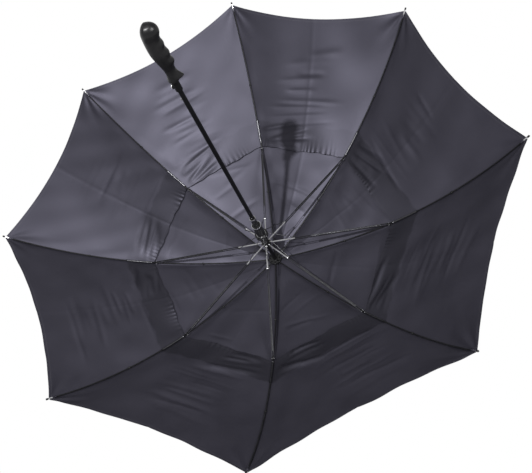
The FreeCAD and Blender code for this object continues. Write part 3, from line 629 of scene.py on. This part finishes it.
def make_rib_sleeve(rib):
    """The plated channel that stiffens the first stretch of an outer rib, open towards the cloth."""
    start, length, radius, thick = MIDDLE.x + 0.011, 0.062, 0.00205, 0.00035
    first_angle, sweep = -200, 220
    around, rows = 13, 24
    vertices = []
    for radius_now in (radius + thick, radius):
        for row in range(rows):
            x = start + length * row / (rows - 1)
            for part in range(around):
                angle = math.radians(first_angle + sweep * part / (around - 1))
                vertices.append(on_rib(rib, x, radius_now * math.sin(angle), radius_now * math.cos(angle)))
    count = rows * around
    faces = grid_faces(rows, around, flip=True) + grid_faces(rows, around, count)
    edge = [row * around for row in range(rows)] + [count - around + part for part in range(1, around)]
    edge += [row * around + around - 1 for row in range(rows - 2, -1, -1)]
    edge += list(range(around - 2, 0, -1))
    faces += [(here, there, there + count, here + count) for here, there in zip(edge, edge[1:] + edge[:1])]
    piece = mesh_object(f"rib_sleeve_{rib}", vertices, faces, DARK_STEEL)
    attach(piece, f"rib_end_{rib}")


def make_tie(rib, number, x, body):
    """A loop of cloth tape that ties the canopy to a rib."""
    half_width, radius, thick, towards_cloth = 0.0022, 0.0023, 0.0004, 0.35
    outward, sideways = rib_frame(rib)
    slope = float(rib_slope(x))
    along = outward * math.cos(slope) - Vector((0, 0, math.sin(slope)))
    up = outward * math.sin(slope) + Vector((0, 0, math.cos(slope)))
    centre = on_rib(rib, x)
    around = 20
    section = [(-half_width, 0), (half_width, 0), (half_width, thick), (-half_width, thick)]
    vertices = []
    for part in range(around):
        angle = 2 * math.pi * part / around
        stretch = 1 + towards_cloth * max(0.0, math.sin(angle)) ** 2
        ray = sideways * math.cos(angle) + up * math.sin(angle) * stretch
        for shift, out in section:
            vertices.append(centre + along * shift + ray * (radius + out))
    faces = []
    for part in range(around):
        here, there = part * 4, (part + 1) % around * 4
        faces += [(here + k, here + (k + 1) % 4, there + (k + 1) % 4, there + k) for k in range(4)]
    piece = mesh_object(f"rib_tie_{rib}_{number}", vertices, faces, NYLON)
    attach(piece, body)


def make_rivet(name, place, sideways, half, body):
    """A domed rivet through a pivot, seen as a head on each side."""
    head, tall, shank = 0.0019, 0.0008, 0.0008
    dome = [(tall * math.sin(turn), head * math.cos(turn)) for turn in np.linspace(0, 1.5, 6)]
    profile = [(-half - along, radius) for along, radius in reversed(dome)]
    profile += [(-half, shank), (half, shank)]
    profile += [(half + along, radius) for along, radius in dome]
    piece = turned_piece(name, profile, place, sideways, PLATED, 20)
    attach(piece, body)


def make_rib_fittings(rib):
    """Everything that is fixed to one rib besides its cloth. The rivet spans the fork of the outer rib."""
    sideways = rib_frame(rib)[1]
    fork_half = 0.0031
    inner_tie, outer_tie = MIDDLE.x * 0.62, MIDDLE.x * 1.50
    make_tip_cap(rib)
    make_rib_sleeve(rib)
    make_tie(rib, 1, inner_tie, f"rib_{rib}")
    make_tie(rib, 2, outer_tie, f"rib_end_{rib}")
    make_rivet(f"middle_rivet_{rib}", on_rib(rib, MIDDLE.x), sideways, fork_half, f"rib_{rib}")


# ---------------------------------------------------------------- spring and handle

def make_button_ring():
    """A bright ring pressed around the push button, where it comes out of its boss."""
    low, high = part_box("push_button")
    inner, outer, tall, sunk, chamfer = 0.0042, 0.0056, 0.0012, 0.0004, 0.0004
    button_level = (low.z + high.z) / 2
    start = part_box("button_bezel")[0].y
    section = [(-sunk, inner), (-sunk, outer), (tall * 0.7, outer), (tall, outer - chamfer), (tall, inner)]
    around = 36
    vertices = []
    for part in range(around):
        angle = 2 * math.pi * part / around
        for along, radius in section:
            vertices.append((radius * math.cos(angle), start - along, button_level + radius * math.sin(angle)))
    faces = []
    for part in range(around):
        here, there = part * len(section), (part + 1) % around * len(section)
        for k in range(len(section)):
            beside = (k + 1) % len(section)
            faces.append((here + k, there + k, there + beside, here + beside))
    ring = mesh_object("button_ring", vertices, faces, CHROME)
    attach(ring, "shaft")


def make_spring():
    """The opening spring, a wire coil carried by the runner. The real spring shortens as the sleeve closes on the
    runner; this coil keeps its length.
    """
    low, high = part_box("opening_spring")
    wire, turns, steps = 0.00035, 8, 24
    radius = (high.x - low.x) / 2 - wire
    path = []
    for part in range(turns * steps + 1):
        angle = 2 * math.pi * part / steps
        level = low.z + wire + (high.z - low.z - 2 * wire) * part / (turns * steps)
        path.append((radius * math.cos(angle), radius * math.sin(angle), level))
    coil = swept_tube("coil_spring", path, wire, SPRING_STEEL, 8)
    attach(coil, "runner")
    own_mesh(coil)
    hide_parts("opening_spring")


def smooth_rows(stations, count):
    """Rows between stations of equal-length tuples, on a Catmull-Rom curve through them."""
    rows = []
    for number in range(count):
        place = number / (count - 1) * (len(stations) - 1)
        start = min(int(place), len(stations) - 2)
        t = place - start
        p0, p1, p2, p3 = (np.array(stations[min(max(start + k, 0), len(stations) - 1)]) for k in (-1, 0, 1, 2))
        rows.append(0.5 * (2 * p1 + (p2 - p0) * t + (2 * p0 - 5 * p1 + 4 * p2 - p3) * t ** 2
                           + (3 * p1 - p0 - 3 * p2 + p3) * t ** 3))
    return rows


# Sections of the grip from pommel to neck: height over its middle, half width along X, reach to -Y and to +Y.
GRIP_STATIONS = (
    (-0.0740, 0.0012, -0.0046, 0.0070), (-0.0734, 0.0044, -0.0010, 0.0104), (-0.0706, 0.0102, 0.0052, 0.0160),
    (-0.0650, 0.0148, 0.0098, 0.0206), (-0.0575, 0.0166, 0.0130, 0.0226), (-0.0490, 0.0160, 0.0148, 0.0214),
    (-0.0400, 0.0148, 0.0158, 0.0178), (-0.0300, 0.0143, 0.0166, 0.0160), (-0.0150, 0.0143, 0.0172, 0.0166),
    (0.0000, 0.0143, 0.0166, 0.0172), (0.0150, 0.0138, 0.0138, 0.0178), (0.0290, 0.0126, 0.0106, 0.0176),
    (0.0420, 0.0110, 0.0082, 0.0150), (0.0530, 0.0106, 0.0076, 0.0138), (0.0640, 0.0112, 0.0088, 0.0136),
    (0.0700, 0.0116, 0.0106, 0.0132), (0.0760, 0.0118, 0.0112, 0.0128),
)
# Finger swells on the +Y side: height, half length along the grip and how far each stands out.
GRIP_SWELLS = ((-0.0230, 0.0075, 0.0026), (0.0020, 0.0075, 0.0028), (0.0250, 0.0075, 0.0032))
# The guard lip rises slowly along the grip and drops off sharply: where it starts, peaks and ends, and its reach.
GUARD = {"start": 0.0430, "peak": 0.0680, "end": 0.0755, "out": 0.0105}


def make_grip():
    """The moulded grip: a ball pommel, a back that narrows to the neck, three finger swells and a guard lip on +Y."""
    around, rows = 72, 150
    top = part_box("handle_grip")[1].z
    vertices = []
    for level, half_x, back, front in smooth_rows(GRIP_STATIONS, rows):
        level = min(level, top)
        swell = sum(out * math.exp(-((level - at) / half) ** 2) for at, half, out in GRIP_SWELLS)
        rise = (level - GUARD["start"]) / (GUARD["peak"] - GUARD["start"])
        drop = fade(level, GUARD["peak"] + 0.0015, GUARD["end"])
        guard_share = min(max(rise, 0.0), 1.0) ** 2 * (1 - float(drop))
        for part in range(around):
            angle = 2 * math.pi * part / around
            facing = math.sin(angle)
            reach = front if facing > 0 else back
            bump = max(facing, 0.0) ** 3
            y = facing * reach + bump * (swell + GUARD["out"] * guard_share)
            vertices.append((half_x * math.cos(angle), y, level))
    faces = grid_faces(rows, around, wrap=True)
    faces.append(tuple(reversed(range(around))))
    faces.append(tuple(range((rows - 1) * around, rows * around)))
    grip = mesh_object("moulded_grip", vertices, faces, RUBBER)
    soften = grip.modifiers.new("rounded", "SUBSURF")
    soften.levels = soften.render_levels = 1
    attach(grip, "shaft")
    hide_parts("handle_grip")


# ---------------------------------------------------------------- carried-over CAD nodes

CAD_FINISH = {
    "shaft_tube": PAINT, "button_bezel": PAINT, "push_button": CHROME, "latch_lever": SPRING_STEEL,
    "ferrule": NYLON, "crown_notch": NYLON, "runner_hub": NYLON, "spring_collar": NYLON, "sleeve_rims": CHROME,
    "rib_inner": LACQUER, "rib_outer": LACQUER, "stretcher": DARK_STEEL, "link": PLATED, "strut": WIRE,
    "opening_spring": SPRING_STEEL, "handle_grip": RUBBER, "top_canopy": CLOTH, "canopy": CLOTH,
}


def finish_cad_nodes():
    """Gives every CAD node its own procedural finish. Nodes of one kind differ only in their number."""
    for name, node in frame["nodes"].items():
        kind = name.rstrip("0123456789_")
        node.data.materials.clear()
        node.data.materials.append(CAD_FINISH[kind])


# ---------------------------------------------------------------- studio

CAMERA_PLACE = Vector((-0.9747, 0.4105, -0.9288))
CAMERA_FORWARD = Vector((0.5476, -0.3046, 0.7794))
CAMERA_UP = Vector((0.8366, 0.1812, -0.5170))
LENS, SHIFT = 50.97, (0.1617, -0.0780)
FLOOR_LEVEL = -2.35
# Brightness of the surround below the horizon. Above it the surround is white.
DIM_BELOW = 0.35
# Name, place, diameter and power of each lamp. The small one throws the grip's shadow onto the canopy.
LAMPS = (("key", (-0.90, -0.23, -2.13), 0.05, 130), ("camera_side", (-1.00, 1.45, -1.00), 0.9, 55))


def make_camera():
    """A camera below the canopy that looks up into it, past the grip."""
    data = bpy.data.cameras.new("camera")
    data.sensor_width, data.lens = 36, LENS
    data.shift_x, data.shift_y = SHIFT
    camera = bpy.data.objects.new("camera", data)
    right = CAMERA_FORWARD.cross(CAMERA_UP).normalized()
    up = right.cross(CAMERA_FORWARD).normalized()
    turn = Matrix((right, up, -CAMERA_FORWARD.normalized())).transposed()
    camera.matrix_world = Matrix.Translation(CAMERA_PLACE) @ turn.to_4x4()
    bpy.context.scene.collection.objects.link(camera)
    bpy.context.scene.camera = camera


def area_light(name, place, size, power):
    """A round soft lamp that shines up at the crown of the umbrella."""
    data = bpy.data.lights.new(name, "AREA")
    data.shape, data.size, data.energy = "DISK", size, power
    lamp = bpy.data.objects.new(name, data)
    lamp.location = place
    lamp.visible_camera = False
    lamp.rotation_mode = "QUATERNION"
    lamp.rotation_quaternion = (Vector(place) - CROWN).to_track_quat("Z", "Y")
    bpy.context.scene.collection.objects.link(lamp)


def make_studio():
    """A white surround, a pale floor far below the hanging umbrella, and two soft lamps under it."""
    world = bpy.data.worlds.new("white_surround")
    bpy.context.scene.world = world
    world.use_nodes = True
    nodes, links = world.node_tree.nodes, world.node_tree.links
    axes, ramp = nodes.new("ShaderNodeSeparateXYZ"), nodes.new("ShaderNodeValToRGB")
    links.new(nodes.new("ShaderNodeTexCoord").outputs["Generated"], axes.inputs["Vector"])
    links.new(axes.outputs["Z"], ramp.inputs["Fac"])
    for element, place, tone in zip(ramp.color_ramp.elements, (0.0, 0.12), (DIM_BELOW, 1.0)):
        element.position = place
        element.color = (tone, tone, tone, 1)
    links.new(ramp.outputs["Color"], nodes["Background"].inputs["Color"])
    nodes["Background"].inputs["Strength"].default_value = 1.0
    half = 60.0
    corners = [(-half, -half, FLOOR_LEVEL), (half, -half, FLOOR_LEVEL), (half, half, FLOOR_LEVEL),
               (-half, half, FLOOR_LEVEL)]
    floor = mesh_object("floor", corners, [(0, 1, 2, 3)], floor_material(), smooth=False)
    for name, place, size, power in LAMPS:
        area_light(name, place, size, power)
    bpy.context.scene.view_settings.view_transform = "Standard"


def make_umbrella():
    """Every piece that is added to the frame."""
    for rib in range(1, RIBS + 1):
        make_lower_cloth(rib)
        make_crown_cloth(rib)
        make_vent_flap(rib)
        make_rib_fittings(rib)
    make_spring()
    make_grip()
    make_button_ring()


finish_cad_nodes()
make_umbrella()
make_camera()
make_studio()
